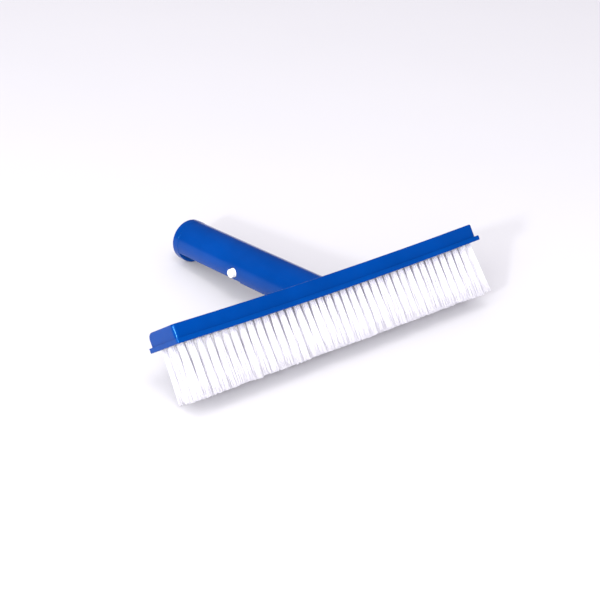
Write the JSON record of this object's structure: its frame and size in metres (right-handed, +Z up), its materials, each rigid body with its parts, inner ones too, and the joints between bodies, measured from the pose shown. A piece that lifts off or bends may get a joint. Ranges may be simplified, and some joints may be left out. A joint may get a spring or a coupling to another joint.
{
  "type": "pool wall brush",
  "caption": "Wide straight pool brush with staggered white bristle tufts under a blue back and an angled handle that a pole slides over and a sprung button locks.",
  "frame": {"origin": "centre of the object's box, on the surface that it rests on with the bristles down and to the front", "axes": "+X along the head, +Y towards the handle's free end, +Z up"},
  "size_m": [0.254, 0.1802, 0.0556],
  "materials": {
    "blue_moulding": "satin moulded plastic",
    "blue_plate": "satin moulded plastic",
    "bristle_nylon": "white filaments",
    "anchor_wire": "drawn flat wire",
    "white_clip": "satin white plastic"
  },
  "bodies": {
    "brush": {"back_moulding": "blue_moulding", "bristle_plate": "blue_plate", "clip_bridge": "white_clip", "tufts_row_1": "bristle_nylon", "tufts_row_2": "bristle_nylon", "tufts_row_3": "bristle_nylon", "tufts_row_4": "bristle_nylon", "tufts_row_5": "bristle_nylon", "staples_row_1": "anchor_wire", "staples_row_2": "anchor_wire", "staples_row_3": "anchor_wire", "staples_row_4": "anchor_wire", "staples_row_5": "anchor_wire"},
    "clip_leg_left": {"clip_leg_left": "white_clip"},
    "clip_leg_right": {"clip_leg_right": "white_clip"}
  },
  "joints": [
    {"name": "button_left_press", "type": "hinge", "parent": "brush", "child": "clip_leg_left", "pos_m": [-0.0106, -0.02228, 0.02687], "axis": [0, -0.1096, -0.994], "range_deg": [0, 4.51], "stiffness_Nm_per_rad": 2, "springref_deg": -2.86},
    {"name": "button_right_press", "type": "hinge", "parent": "brush", "child": "clip_leg_right", "pos_m": [0.0106, -0.02228, 0.02687], "axis": [0, 0.1096, 0.994], "range_deg": [0, 4.51], "stiffness_Nm_per_rad": 2, "springref_deg": -2.86}
  ]
}
